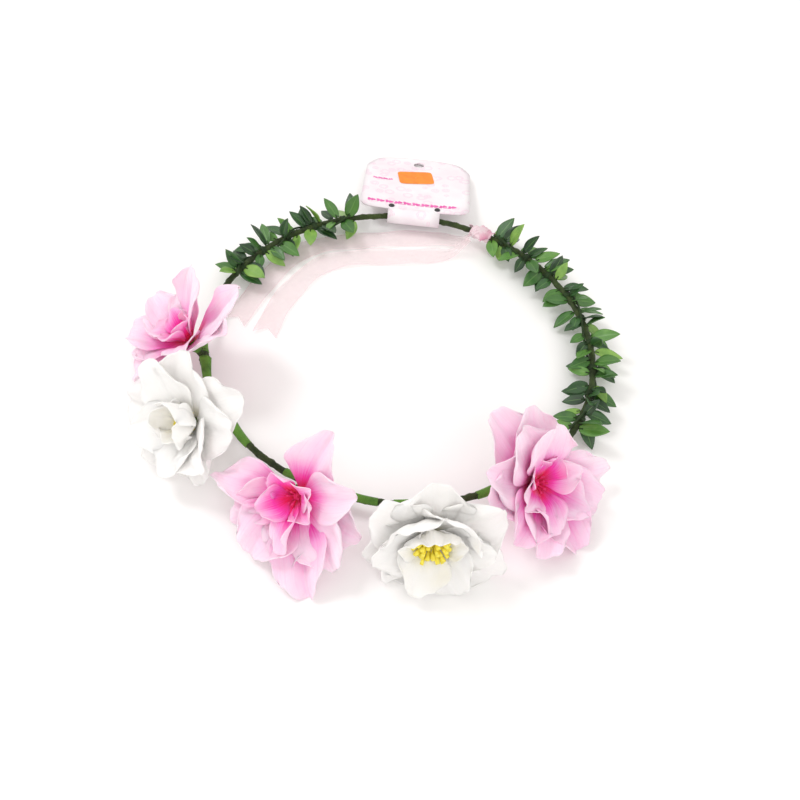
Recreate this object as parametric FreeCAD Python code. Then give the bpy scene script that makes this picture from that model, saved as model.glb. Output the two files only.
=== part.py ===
import FreeCAD, Part
import math
import os

os.makedirs("parts", exist_ok=True)

# Flower crown, in millimetres. The crown lies on a table: +Z is up and z = 0 is the table top.
# The hoop's centre is on the Z axis. -Y is the front, with the middle pink flower, and +Y the bow knot.

V = FreeCAD.Vector

# hoop
HOOP_RADIUS = 92.5
HOOP_HEIGHT = 8.8
WIRE_RADIUS = 0.9
TAPE_RADIUS = 1.8

# leaf garland
STEM_RADIUS = 0.5
STEM_OFFSET = 2.5
STEM_SIDE_DEG = 50.0
SLEEVE_RADIUS = 3.2
SLEEVE_LENGTH = 5.0
LEAF_LENGTH = 12.5
LEAF_WIDTH = 5.6
LEAF_THICKNESS = 0.6
LEAF_BEND_RADIUS = 16.0
LEAF_ROOT = 2.2
WHORL_GAP = 2.04
TURN_STEP_DEG = 17.0
RIGHT_FIRST_DEG = 83.0
RIGHT_STEP_DEG = -10.3
RIGHT_CLUSTERS = 9
LEFT_FIRST_DEG = 138.5
LEFT_STEP_DEG = 10.3
LEFT_CLUSTERS = 5

# flowers
COLLAR_GAP = 0.3
COLLAR_WALL = 0.7
COLLAR_LENGTH = 8.0
STALK_RADIUS = 1.5
CALYX_HEIGHT = 5.0
CALYX_RADIUS = 4.5
PEG_RADIUS = 1.2
PEG_GAP = 0.1
PETAL_THICKNESS = 0.6
PETAL_ROWS = 6
PETAL_COLUMNS = 9
PETAL_BLUNTNESS = 0.6
NOTCH_SHARE = 0.42
PROFILE_STEPS = 40
ROOT_SLOPE = 0.35
MIDDLE_SLOPE = 0.75
PROFILE_TURN = 0.85
FILAMENT_RADIUS = 0.4
FILAMENT_LENGTH = 8.0
HEART_RADIUS = 1.15
HEART_HEIGHT = 1.6
FOOT_RISE = 0.6
FOOT_SPREAD = 0.55
FILAMENT_LEAN = 0.35

# Each flower: place on the hoop, where its axis points, stalk length, petal lengths and stamens.
FLOWERS = {
    "pink_flower_left": dict(at=-141, azimuth=-165, rise=58, stalk=4.5, reach=36, turn=0, filaments=5,
                             petals=(0.75, 1.0, 1.0, 1.0, 0.8)),
    "white_flower_left": dict(at=-118, azimuth=-104, rise=34, stalk=12.0, reach=34, turn=18, filaments=9,
                              petals=(0.9, 0.95, 0.85, 0.9, 0.9)),
    "pink_flower_front": dict(at=-84, azimuth=-86, rise=40, stalk=11.0, reach=38, turn=18, filaments=5,
                              petals=(0.85, 1.0, 0.95, 0.95, 0.9)),
    "white_flower_right": dict(at=-55, azimuth=-57, rise=20, stalk=13.0, reach=34, turn=30, filaments=9,
                               petals=(0.85, 0.9, 0.82, 0.7, 0.5, 0.75)),
    "pink_flower_right": dict(at=-29, azimuth=-18, rise=43, stalk=5.0, reach=36, turn=30, filaments=5,
                              petals=(1.0, 1.0, 0.85, 0.8, 0.9, 1.0)),
}

# Each petal layer: share of the flower's reach, how far it opens from the axis, and its place on the peg.
LAYERS = {
    "outer_petals": dict(share=1.0, open_deg=66, lift=0.0, half_turn=0.0),
    "middle_petals": dict(share=0.84, open_deg=50, lift=1.2, half_turn=0.5),
    "inner_petals": dict(share=0.6, open_deg=32, lift=2.4, half_turn=0.0),
}

# ribbon
KNOT_DEG = 91.0
KNOT_LENGTH = 11.0
LUMP_INWARD = 1.5
LUMP_UP = 0.5
KNOT_RADIUS = 3.4
KNOT_LUMP = 4.2
RIBBON_WIDTH = 12.0
RIBBON_THICKNESS = 0.4

# swing tag
TAG_DEG = 114.5
CARD_WIDTH = 60.0
CARD_LENGTH = 64.0
CARD_THICKNESS = 0.8
CARD_CORNER = 6.0
CARD_START = 0.0
CARD_DROP_DEG = 10.7
CARD_SHOULDER_SHARE = 0.72
CARD_SHOULDER_DROP = 3.5
CARD_NECK_DROP = 15.0
LOOP_RADIUS = 3.5
LOOP_WIDTH = 28.0
STRAP_OVERLAP = 8.0
STRAP_JOINT = 2.0
STRAP_TUCK = 1.0
HANG_HOLE_RADIUS = 3.0
HANG_HOLE_FROM_TOP = 8.0
STICKER_LENGTH = 20.0
STICKER_WIDTH = 15.0
STICKER_FROM_START = 39.0
STICKER_THICKNESS = 0.2
STICKER_TURN_DEG = 10.0
PIN_SPACING = 25.0
PIN_HEAD_RADIUS = 1.6
PIN_HEAD_HEIGHT = 1.0
PIN_SHANK_RADIUS = 0.5
PIN_SHANK_BELOW = 1.5
PIN_FROM_START = 2.5


def unit(deg):
    return V(math.cos(math.radians(deg)), math.sin(math.radians(deg)), 0)


def hoop_point(deg, radial=0.0, up=0.0):
    return unit(deg) * (HOOP_RADIUS + radial) + V(0, 0, HOOP_HEIGHT + up)


def placed(origin, x_dir, z_dir):
    y_dir = z_dir.cross(x_dir)
    return FreeCAD.Placement(origin, FreeCAD.Rotation(x_dir, y_dir, z_dir, "ZXY"))


def arc_rod(radius, one_deg, other_deg, radial=0.0, up=0.0):
    """A round rod that follows the hoop between two angles."""
    first = min(one_deg, other_deg)
    sweep = abs(other_deg - one_deg)
    disc = Part.Face(Part.Wire(Part.makeCircle(radius, hoop_point(first, radial, up), unit(first + 90))))
    rod = disc.revolve(V(0, 0, 0), V(0, 0, 1), sweep)
    if rod.Volume < 0:
        rod.reverse()
    return rod


def arc_deg(length):
    return math.degrees(length / HOOP_RADIUS)


def skin(poles):
    """A smooth surface over a grid of control points."""
    sizes = (len(poles), len(poles[0]))
    degrees = [min(3, size - 1) for size in sizes]
    mults = []
    knots = []
    for size, degree in zip(sizes, degrees):
        inner = size - degree - 1
        mults.append([degree + 1] + [1] * inner + [degree + 1])
        knots.append([float(number) for number in range(inner + 2)])
    surface = Part.BSplineSurface()
    surface.buildFromPolesMultsKnots(poles, mults[0], mults[1], knots[0], knots[1], False, False, *degrees)
    return surface


def patch_faces(low, high, all_round):
    """The two skins of a thin patch and the edges of its first and last rows, or of all four sides."""
    skins = [skin(low), skin(high)]
    faces = [one.toShape() for one in skins]
    u_low, u_high, v_low, v_high = skins[0].bounds()
    for value in (u_low, u_high):
        faces.append(Part.makeRuledSurface(*[one.uIso(value).toShape() for one in skins]))
    if all_round:
        for value in (v_low, v_high):
            faces.append(Part.makeRuledSurface(*[one.vIso(value).toShape() for one in skins]))
    return faces


def closed_solid(faces):
    shell = Part.makeShell(faces)
    shell.sewShape()
    solid = Part.Solid(shell)
    if solid.Volume < 0:
        solid.reverse()
    return solid


def save(shape, name):
    if shape.ShapeType == "Compound" and len(shape.Solids) == 1:
        shape = shape.Solids[0]
    shape.exportStep("parts/" + name + ".step")


# ---------------------------------------------------------------- hoop


def hoop_wire():
    return Part.makeTorus(HOOP_RADIUS, WIRE_RADIUS, V(0, 0, HOOP_HEIGHT))


def floral_tape():
    outside = Part.makeTorus(HOOP_RADIUS, TAPE_RADIUS, V(0, 0, HOOP_HEIGHT))
    return outside.cut(hoop_wire())


# ---------------------------------------------------------------- leaf garland


def stem_offset():
    turn = math.radians(STEM_SIDE_DEG)
    return STEM_OFFSET * math.cos(turn), STEM_OFFSET * math.sin(turn)


def garland_stem(first, step, clusters):
    radial, up = stem_offset()
    margin = math.copysign(arc_deg(SLEEVE_LENGTH), step)
    return arc_rod(STEM_RADIUS, first - margin, first + step * (clusters - 1) + margin, radial, up)


def leaf_blank():
    """One leaf along +X from the origin, cupped about an axis along X."""
    tip = V(LEAF_LENGTH, 0, 0)
    side = V(LEAF_LENGTH * 0.45, LEAF_WIDTH / 2, 0)
    other = V(LEAF_LENGTH * 0.45, -LEAF_WIDTH / 2, 0)
    edges = [Part.Arc(V(0, 0, 0), side, tip).toShape(), Part.Arc(tip, other, V(0, 0, 0)).toShape()]
    outline = Part.Face(Part.Wire(edges))
    prism = outline.extrude(V(0, 0, LEAF_BEND_RADIUS))
    axis_point = V(LEAF_LENGTH * 0.45, -LEAF_WIDTH, LEAF_BEND_RADIUS)
    span = 2 * LEAF_WIDTH
    outer = Part.makeCylinder(LEAF_BEND_RADIUS, span, axis_point, V(0, 1, 0))
    inner = Part.makeCylinder(LEAF_BEND_RADIUS - LEAF_THICKNESS, span, axis_point, V(0, 1, 0))
    return prism.common(outer.cut(inner))


def leaf_directions(index):
    """Where each leaf of a cluster points around the hoop, and how far it leans along it."""
    shift = TURN_STEP_DEG * (index % 3)
    first = [(-52 + shift * 0.4, 46, 0), (75 + shift, 38, 0), (178 - shift, 44, 0)]
    second = [(15 + shift, 42, 1), (125 + shift, 36, 1), (232 + shift * 0.4, 48, 1)]
    return first + second


def leaf_cluster(at, step, index, blank):
    along = math.copysign(1.0, step)
    half = math.copysign(arc_deg(SLEEVE_LENGTH) / 2, step)
    radial, up = stem_offset()
    shape = arc_rod(SLEEVE_RADIUS, at - half, at + half)
    leaves = []
    for around, lean, whorl in leaf_directions(index):
        deg = at + along * arc_deg((whorl - 0.5) * WHORL_GAP)
        turn = math.radians(around)
        away = unit(deg) * math.cos(turn) + V(0, 0, 1) * math.sin(turn)
        tangent = unit(deg + 90) * along
        slope = math.radians(lean)
        out = away * math.cos(slope) + tangent * math.sin(slope)
        root = hoop_point(deg) + away * LEAF_ROOT
        normal = (away * math.sin(slope) - tangent * math.cos(slope)) * -1.0
        leaf = blank.copy()
        leaf.Placement = placed(root, out, normal)
        leaves.append(leaf)
    shape = shape.multiFuse(leaves)
    margin = half * 4
    shape = shape.cut(arc_rod(TAPE_RADIUS, at - margin, at + margin))
    shape = shape.cut(arc_rod(STEM_RADIUS, at - margin, at + margin, radial, up))
    wide = 4 * HOOP_RADIUS
    table = Part.makeBox(wide, wide, HOOP_RADIUS, V(-wide / 2, -wide / 2, -HOOP_RADIUS))
    shape = shape.cut(table)
    return max(shape.Solids, key=lambda solid: solid.Volume)


# ---------------------------------------------------------------- flowers


def flower_placement(flower):
    rise = math.radians(flower["rise"])
    axis = unit(flower["azimuth"]) * math.cos(rise) + V(0, 0, math.sin(rise))
    side = V(0, 0, 1).cross(axis)
    side.normalize()
    return placed(hoop_point(flower["at"]), side, axis)


def flower_stem(flower):
    """The tape collar round the hoop and the stalk that stands out of it."""
    at = flower["at"]
    half = arc_deg(COLLAR_LENGTH) / 2
    bore = TAPE_RADIUS + COLLAR_GAP
    collar = arc_rod(bore + COLLAR_WALL, at - half, at + half)
    stalk = Part.makeCylinder(STALK_RADIUS, flower["stalk"])
    stalk.Placement = flower_placement(flower)
    body = collar.fuse(stalk)
    return body.cut(arc_rod(bore, at - 2 * half, at + 2 * half))


def calyx(flower):
    base = flower["stalk"]
    cup = Part.makeCone(STALK_RADIUS, CALYX_RADIUS, CALYX_HEIGHT, V(0, 0, base))
    top = base + CALYX_HEIGHT
    peg = Part.makeCylinder(PEG_RADIUS, LAYERS["inner_petals"]["lift"] + PETAL_THICKNESS, V(0, 0, top))
    shape = cup.fuse(peg)
    shape.Placement = flower_placement(flower)
    return shape


def rise_along(reach, slope):
    """Radius and height of points along a petal, from the peg out to its tip."""
    points = [(PEG_RADIUS + PEG_GAP, 0.0)]
    step = reach / PROFILE_STEPS
    for number in range(PROFILE_STEPS):
        share = (number + 0.5) / PROFILE_STEPS
        curl = slope * (ROOT_SLOPE + MIDDLE_SLOPE * math.sin(math.pi * share * PROFILE_TURN))
        radius, height = points[-1]
        points.append((radius + step * math.cos(curl), height + step * math.sin(curl)))
    return points


def petal_sector(points, share, count):
    """Control points of one petal's lower skin. Neighbours share their edge rows."""
    rows = []
    for along in range(PETAL_ROWS):
        row = []
        for across in range(PETAL_COLUMNS):
            side = across / (PETAL_COLUMNS - 1) - 0.5
            bump = max(0.0, math.cos(math.pi * side)) ** PETAL_BLUNTNESS
            reached = NOTCH_SHARE + (share - NOTCH_SHARE) * bump
            position = reached * along / (PETAL_ROWS - 1) * PROFILE_STEPS
            radius, height = between(points, position)
            row.append(unit(side * 360.0 / count) * radius + V(0, 0, height))
        rows.append(row)
    return rows


def between(points, position):
    low = min(int(position), len(points) - 2)
    part = position - low
    return tuple(a + (b - a) * part for a, b in zip(points[low], points[low + 1]))


def petal_layer(flower, layer):
    base = flower["stalk"] + CALYX_HEIGHT + layer["lift"]
    count = len(flower["petals"])
    points = rise_along(flower["reach"] * layer["share"], math.radians(90 - layer["open_deg"]))
    faces = []
    for number, share in enumerate(flower["petals"]):
        low = petal_sector(points, share, count)
        high = [[p + V(0, 0, PETAL_THICKNESS) for p in row] for row in low]
        turn = flower["turn"] + (number + layer["half_turn"]) * 360.0 / count
        for face in patch_faces(low, high, False):
            face.rotate(V(0, 0, 0), V(0, 0, 1), turn)
            face.translate(V(0, 0, base))
            faces.append(face)
    shape = closed_solid(faces)
    shape.Placement = flower_placement(flower)
    return shape


def stamens(flower):
    base = flower["stalk"] + CALYX_HEIGHT + LAYERS["inner_petals"]["lift"] + PETAL_THICKNESS
    heart = Part.makeCylinder(HEART_RADIUS, HEART_HEIGHT, V(0, 0, base))
    rods = []
    for number in range(flower["filaments"]):
        way = unit(360.0 * number / flower["filaments"])
        foot = V(0, 0, base + HEART_HEIGHT * FOOT_RISE) + way * (HEART_RADIUS * FOOT_SPREAD)
        lean = way * FILAMENT_LEAN + V(0, 0, 1)
        rods.append(Part.makeCylinder(FILAMENT_RADIUS, FILAMENT_LENGTH, foot, lean))
    shape = heart.multiFuse(rods)
    shape.Placement = flower_placement(flower)
    return shape


# ---------------------------------------------------------------- ribbon


def ribbon_knot():
    half = arc_deg(KNOT_LENGTH) / 2
    band = arc_rod(KNOT_RADIUS, KNOT_DEG - half, KNOT_DEG + half)
    lump = Part.makeSphere(KNOT_LUMP, hoop_point(KNOT_DEG, -LUMP_INWARD, LUMP_UP))
    bore = arc_rod(TAPE_RADIUS, KNOT_DEG - 3 * half, KNOT_DEG + 3 * half)
    return band.cut(bore).fuse(lump.cut(bore))


def ribbon_tail(path):
    """A ribbon whose middle follows path, given as x, y, z and share of the full width."""
    low = []
    for number, (x, y, z, share) in enumerate(path):
        before = path[max(0, number - 1)]
        after = path[min(len(path) - 1, number + 1)]
        travel = V(after[0] - before[0], after[1] - before[1], 0)
        travel.normalize()
        side = V(-travel.y, travel.x, 0) * (share * RIBBON_WIDTH / 2)
        low.append([V(x, y, z) - side, V(x, y, z) + side])
    high = [[p + V(0, 0, RIBBON_THICKNESS) for p in row] for row in low]
    return closed_solid(patch_faces(low, high, True))


TAIL_BACK = [
    (-5.5, 88.0, 6.5, 0.3),
    (-9.0, 88.2, 4.0, 0.5),
    (-13.0, 88.0, 0.5, 0.7),
    (-23.0, 84.5, 0.0, 0.95),
    (-40.0, 73.5, 0.0, 1.0),
    (-60.0, 57.5, 0.0, 1.0),
    (-74.0, 44.0, 0.0, 1.0),
    (-80.5, 30.0, 0.0, 1.0),
    (-82.0, 12.0, 0.0, 1.0),
    (-80.5, -8.0, 0.0, 1.0),
    (-78.5, -27.0, 0.0, 1.0),
]
TAIL_FRONT = [
    (-4.5, 84.6, 8.0, 0.3),
    (-7.0, 81.5, 5.0, 0.4),
    (-11.0, 77.5, 0.5, 0.6),
    (-19.0, 70.5, 0.0, 0.9),
    (-34.0, 59.5, 0.0, 1.0),
    (-50.0, 48.5, 0.0, 1.0),
    (-61.0, 37.5, 0.0, 1.0),
    (-66.0, 25.0, 0.0, 1.0),
    (-67.0, 8.0, 0.0, 1.0),
    (-65.5, -8.0, 0.0, 1.0),
    (-61.0, -26.0, 0.0, 1.0),
]


# ---------------------------------------------------------------- swing tag


def tag_placement():
    """Local X runs along the hoop, local Y out along the card and local Z out of its face."""
    slope = math.radians(CARD_DROP_DEG)
    out = unit(TAG_DEG) * math.cos(slope) - V(0, 0, math.sin(slope))
    across = unit(TAG_DEG - 90)
    return placed(hoop_point(TAG_DEG), across, across.cross(out))


def rounded_card():
    low = CARD_START
    high = CARD_START + CARD_LENGTH
    half = CARD_WIDTH / 2
    shoulder = half * CARD_SHOULDER_SHARE
    corner = CARD_CORNER
    bend = corner * (1 - math.sqrt(0.5))
    left = [V(-half, low + corner, 0), V(-half + bend, low + bend, 0), V(-half + corner, low, 0)]
    right = [V(half - corner, low, 0), V(half - bend, low + bend, 0), V(half, low + corner, 0)]
    neck = high - CARD_NECK_DROP
    top = high - CARD_SHOULDER_DROP
    crown = [V(half, neck, 0), V(shoulder, top, 0), V(0, high, 0), V(-shoulder, top, 0), V(-half, neck, 0)]
    arch = Part.BSplineCurve()
    arch.interpolate(crown)
    edges = [
        Part.Arc(*left).toShape(),
        Part.makeLine(left[2], right[0]),
        Part.Arc(*right).toShape(),
        Part.makeLine(right[2], crown[0]),
        arch.toShape(),
        Part.makeLine(crown[-1], left[0]),
    ]
    return Part.Face(Part.Wire(edges)).extrude(V(0, 0, CARD_THICKNESS))


def tag_card():
    card = rounded_card()
    card.translate(V(0, 0, LOOP_RADIUS))
    ring = Part.makeCylinder(LOOP_RADIUS + CARD_THICKNESS, LOOP_WIDTH, V(-LOOP_WIDTH / 2, 0, 0), V(1, 0, 0))
    ring = ring.cut(Part.makeCylinder(LOOP_RADIUS, LOOP_WIDTH, V(-LOOP_WIDTH / 2, 0, 0), V(1, 0, 0)))
    tall = 2 * (LOOP_RADIUS + CARD_THICKNESS)
    inside = Part.makeBox(LOOP_WIDTH, tall, tall, V(-LOOP_WIDTH / 2, -tall, -tall / 2))
    fold = ring.common(inside)
    strap_length = CARD_START + STRAP_OVERLAP
    above = Part.makeBox(LOOP_WIDTH, CARD_START + STRAP_TUCK, CARD_THICKNESS, V(-LOOP_WIDTH / 2, 0, LOOP_RADIUS))
    below_z = -LOOP_RADIUS - CARD_THICKNESS
    below = Part.makeBox(LOOP_WIDTH, strap_length, CARD_THICKNESS, V(-LOOP_WIDTH / 2, 0, below_z))
    joint_high = 2 * LOOP_RADIUS + CARD_THICKNESS
    joint_at = V(-LOOP_WIDTH / 2, strap_length - STRAP_JOINT, below_z)
    joint = Part.makeBox(LOOP_WIDTH, STRAP_JOINT, joint_high, joint_at)
    body = card.multiFuse([fold, above, below, joint]).removeSplitter()
    hole_y = CARD_START + CARD_LENGTH - HANG_HOLE_FROM_TOP
    hole = Part.makeCylinder(HANG_HOLE_RADIUS, 4 * CARD_THICKNESS, V(0, hole_y, LOOP_RADIUS - CARD_THICKNESS))
    body = body.cut(hole)
    for side in (-1, 1):
        spot = V(side * PIN_SPACING / 2, CARD_START + PIN_FROM_START, -2 * LOOP_RADIUS)
        body = body.cut(Part.makeCylinder(PIN_SHANK_RADIUS, 4 * LOOP_RADIUS, spot))
    body.Placement = tag_placement()
    return body


def price_sticker():
    box = Part.makeBox(STICKER_LENGTH, STICKER_WIDTH, STICKER_THICKNESS)
    box.translate(V(-STICKER_LENGTH / 2, -STICKER_WIDTH / 2, 0))
    box.rotate(V(0, 0, 0), V(0, 0, 1), STICKER_TURN_DEG)
    box.translate(V(-1.0, CARD_START + STICKER_FROM_START, LOOP_RADIUS + CARD_THICKNESS))
    box.Placement = tag_placement().multiply(box.Placement)
    return box


def tag_pins():
    pins = []
    for side in (-1, 1):
        spot = V(side * PIN_SPACING / 2, CARD_START + PIN_FROM_START, LOOP_RADIUS + CARD_THICKNESS)
        head = Part.makeCylinder(PIN_HEAD_RADIUS, PIN_HEAD_HEIGHT, spot)
        shank = Part.makeCylinder(PIN_SHANK_RADIUS, CARD_THICKNESS + PIN_SHANK_BELOW, spot, V(0, 0, -1))
        pins.append(head.fuse(shank))
    both = Part.makeCompound(pins)
    both.Placement = tag_placement()
    return both


# ---------------------------------------------------------------- all pieces


def main():
    save(hoop_wire(), "hoop_wire")
    save(floral_tape(), "floral_tape")
    save(garland_stem(RIGHT_FIRST_DEG, RIGHT_STEP_DEG, RIGHT_CLUSTERS), "garland_stem_right")
    save(garland_stem(LEFT_FIRST_DEG, LEFT_STEP_DEG, LEFT_CLUSTERS), "garland_stem_left")
    blank = leaf_blank()
    for number in range(RIGHT_CLUSTERS):
        at = RIGHT_FIRST_DEG + number * RIGHT_STEP_DEG
        save(leaf_cluster(at, RIGHT_STEP_DEG, number, blank), "leaf_cluster_right_%d" % (number + 1))
    for number in range(LEFT_CLUSTERS):
        at = LEFT_FIRST_DEG + number * LEFT_STEP_DEG
        save(leaf_cluster(at, LEFT_STEP_DEG, number + 1, blank), "leaf_cluster_left_%d" % (number + 1))
    for name, flower in FLOWERS.items():
        save(flower_stem(flower), name + "_stem")
        save(calyx(flower), name + "_calyx")
        for layer_name, layer in LAYERS.items():
            save(petal_layer(flower, layer), name + "_" + layer_name)
        save(stamens(flower), name + "_stamens")
    save(ribbon_knot(), "ribbon_knot")
    save(ribbon_tail(TAIL_BACK), "ribbon_tail_back")
    save(ribbon_tail(TAIL_FRONT), "ribbon_tail_front")
    save(tag_card(), "tag_card")
    save(price_sticker(), "price_sticker")
    save(tag_pins(), "tag_pins")


main()
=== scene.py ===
import bpy
import math
import random
from mathutils import Matrix, Vector, noise


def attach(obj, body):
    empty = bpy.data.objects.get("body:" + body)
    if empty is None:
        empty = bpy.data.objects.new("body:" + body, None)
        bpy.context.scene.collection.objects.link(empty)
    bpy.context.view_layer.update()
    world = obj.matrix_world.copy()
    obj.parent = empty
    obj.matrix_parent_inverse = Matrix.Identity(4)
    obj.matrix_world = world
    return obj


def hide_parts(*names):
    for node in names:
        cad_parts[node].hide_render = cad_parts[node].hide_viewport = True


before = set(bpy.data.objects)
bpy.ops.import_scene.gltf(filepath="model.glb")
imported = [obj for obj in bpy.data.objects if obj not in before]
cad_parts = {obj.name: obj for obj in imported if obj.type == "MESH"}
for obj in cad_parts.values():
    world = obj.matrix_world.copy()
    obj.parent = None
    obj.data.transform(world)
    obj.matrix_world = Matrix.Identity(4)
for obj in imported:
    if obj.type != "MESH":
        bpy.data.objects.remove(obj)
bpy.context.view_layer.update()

# Lengths in the shape code are millimetres; MM turns them into metres.
MM = 0.001
HOOP_RADIUS = 92.5
HOOP_HEIGHT = 8.8
TAPE_RADIUS = 1.55


# ------------------------------------------------------------------ camera

FOCAL_MM = 40.5
SENSOR_MM = 36.0
CAMERA_PLACE = (2.8, -296.5, 314.1 + HOOP_HEIGHT)
CAMERA_PITCH_DEG = 50.4
CAMERA_ROLL = 0.11
CAMERA_TURN_DEG = 24.0
CLIP_START = 0.01


def make_camera():
    pitch = math.radians(CAMERA_PITCH_DEG)
    turn = Matrix.Rotation(math.radians(CAMERA_TURN_DEG), 3, "Z")
    forward = Vector((0, math.cos(pitch), -math.sin(pitch)))
    upward = Vector((0, math.sin(pitch), math.cos(pitch)))
    across = Vector((1, 0, 0))
    right = across * math.cos(CAMERA_ROLL) + upward * math.sin(CAMERA_ROLL)
    top = upward * math.cos(CAMERA_ROLL) - across * math.sin(CAMERA_ROLL)
    axes = [turn @ right, turn @ top, turn @ -forward]
    rotation = Matrix(axes).transposed().to_4x4()
    place = turn @ Vector(CAMERA_PLACE) * MM
    data = bpy.data.cameras.new("camera")
    data.lens = FOCAL_MM
    data.sensor_width = SENSOR_MM
    data.clip_start = CLIP_START
    camera = bpy.data.objects.new("camera", data)
    camera.matrix_world = Matrix.Translation(place) @ rotation
    bpy.context.scene.collection.objects.link(camera)
    bpy.context.scene.camera = camera


make_camera()


# ------------------------------------------------------------------ helpers


UP = Vector((0, 0, 1))


def unit(deg):
    return Vector((math.cos(math.radians(deg)), math.sin(math.radians(deg)), 0))


def hoop_point(deg, radial=0.0, up=0.0):
    return unit(deg) * (HOOP_RADIUS + radial) + Vector((0, 0, HOOP_HEIGHT + up))


def round_hoop(deg, turn):
    """Unit vector across the hoop at deg: turn 0 is outwards, a quarter turn is up."""
    return unit(deg) * math.cos(turn) + UP * math.sin(turn)


def smooth(low, high, value):
    share = max(0.0, min(1.0, (value - low) / (high - low)))
    return share * share * (3 - 2 * share)


def mix(a, b, share):
    return a + (b - a) * share


class Shape:
    """Collects points in millimetres, faces, a UV and a tint per point, and makes one mesh object."""

    def __init__(self):
        self.points = []
        self.faces = []
        self.uvs = []
        self.tints = []

    def grid(self, rows, uvs, tint=0.5, round_it=False, ends=False):
        """Rows of points, joined as quads. round_it closes each row; ends caps the first and last row."""
        start = len(self.points)
        width = len(rows[0])
        for row, uv_row in zip(rows, uvs):
            self.points += row
            self.uvs += uv_row
            self.tints += [tint] * width
        steps = width if round_it else width - 1
        for j in range(len(rows) - 1):
            for i in range(steps):
                a = start + j * width + i
                b = start + j * width + (i + 1) % width
                self.faces.append((a, b, b + width, a + width))
        if ends:
            last = start + (len(rows) - 1) * width
            self.faces.append(tuple(start + i for i in reversed(range(width))))
            self.faces.append(tuple(last + i for i in range(width)))

    def make(self, name, material, body, nodes=(), thick=0.0, offset=0.0):
        mesh = bpy.data.meshes.new(name)
        mesh.from_pydata([p * MM for p in self.points], [], self.faces)
        layer = mesh.uv_layers.new(name="UVMap")
        tint = mesh.attributes.new("tint", "FLOAT", "POINT")
        tint.data.foreach_set("value", self.tints)
        for loop in mesh.loops:
            layer.data[loop.index].uv = self.uvs[loop.vertex_index]
        for face in mesh.polygons:
            face.use_smooth = True
        mesh.materials.append(material)
        made = bpy.data.objects.new(name, mesh)
        bpy.context.scene.collection.objects.link(made)
        if thick:
            solid = made.modifiers.new("thickness", "SOLIDIFY")
            solid.thickness = thick * MM
            solid.offset = offset
        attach(made, body)
        if nodes:
            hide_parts(*nodes)
        return made


def tube(shape, path, radius, sides=10, tint=0.5, ends=True):
    """A round tube along a list of points. radius is a number or a function of the share along it."""
    rows = []
    uvs = []
    side = None
    for j, point in enumerate(path):
        ahead = path[min(j + 1, len(path) - 1)]
        behind = path[max(j - 1, 0)]
        travel = (ahead - behind).normalized()
        if side is None:
            side = travel.orthogonal().normalized()
        side = (side - travel * side.dot(travel)).normalized()
        other = travel.cross(side)
        share = j / (len(path) - 1)
        size = radius(share) if callable(radius) else radius
        row = []
        for i in range(sides):
            turn = 2 * math.pi * i / sides
            row.append(point + (side * math.cos(turn) + other * math.sin(turn)) * size)
        rows.append(row)
        uvs.append([(i / sides, share) for i in range(sides)])
    shape.grid(rows, uvs, tint, True, ends)


# ------------------------------------------------------------------ materials


class Look:
    """A small helper around one material's nodes."""

    def __init__(self, name):
        self.material = bpy.data.materials.new(name)
        self.material.use_nodes = True
        self.tree = self.material.node_tree
        self.shader = self.tree.nodes["Principled BSDF"]

    def node(self, kind, **inputs):
        made = self.tree.nodes.new(kind)
        for key, value in inputs.items():
            self.put(made.inputs[key.replace("_", " ")], value)
        return made

    def put(self, socket, value):
        if isinstance(value, bpy.types.NodeSocket):
            self.tree.links.new(value, socket)
        else:
            socket.default_value = value

    def set(self, **inputs):
        for key, value in inputs.items():
            self.put(self.shader.inputs[key.replace("_", " ")], value)

    def uv(self):
        made = self.node("ShaderNodeUVMap")
        made.uv_map = "UVMap"
        return made.outputs["UV"]

    def tint(self):
        made = self.node("ShaderNodeAttribute")
        made.attribute_name = "tint"
        return made.outputs["Fac"]

    def place(self, scale=(1, 1, 1), source=None):
        where = source or self.node("ShaderNodeTexCoord").outputs["Object"]
        made = self.node("ShaderNodeMapping", Vector=where)
        made.inputs["Scale"].default_value = scale
        return made.outputs["Vector"]

    def math(self, operation, a, b=0.0):
        made = self.node("ShaderNodeMath")
        made.operation = operation
        self.put(made.inputs[0], a)
        self.put(made.inputs[1], b)
        return made.outputs[0]

    def noise(self, scale, detail=3.0, rough=0.5, where=None):
        made = self.node("ShaderNodeTexNoise", Scale=scale, Detail=detail, Roughness=rough)
        self.put(made.inputs["Vector"], where or self.place())
        return made.outputs["Fac"]

    def wave(self, scale, distortion, where, detail=2.0):
        made = self.node("ShaderNodeTexWave", Scale=scale, Distortion=distortion, Detail=detail)
        self.put(made.inputs["Vector"], where)
        return made.outputs["Fac"]

    def ramp(self, value, stops):
        made = self.node("ShaderNodeValToRGB")
        self.put(made.inputs["Fac"], value)
        band = made.color_ramp
        while len(band.elements) < len(stops):
            band.elements.new(0.5)
        for element, (place, colour) in zip(band.elements, stops):
            element.position = place
            element.color = (*colour, 1) if len(colour) == 3 else colour
        return made.outputs["Color"]

    def blend(self, share, a, b, kind="MIX"):
        made = self.node("ShaderNodeMix")
        made.data_type = "RGBA"
        made.blend_type = kind
        sockets = [s for s in made.inputs if s.type == "RGBA"]
        self.put(made.inputs[0], share)
        for socket, value in zip(sockets, (a, b)):
            self.put(socket, value if isinstance(value, bpy.types.NodeSocket) else (*value, 1))
        return [s for s in made.outputs if s.type == "RGBA"][0]

    def bump(self, height, strength, distance):
        made = self.node("ShaderNodeBump", Height=height, Strength=strength, Distance=distance)
        self.set(Normal=made.outputs["Normal"])


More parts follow.
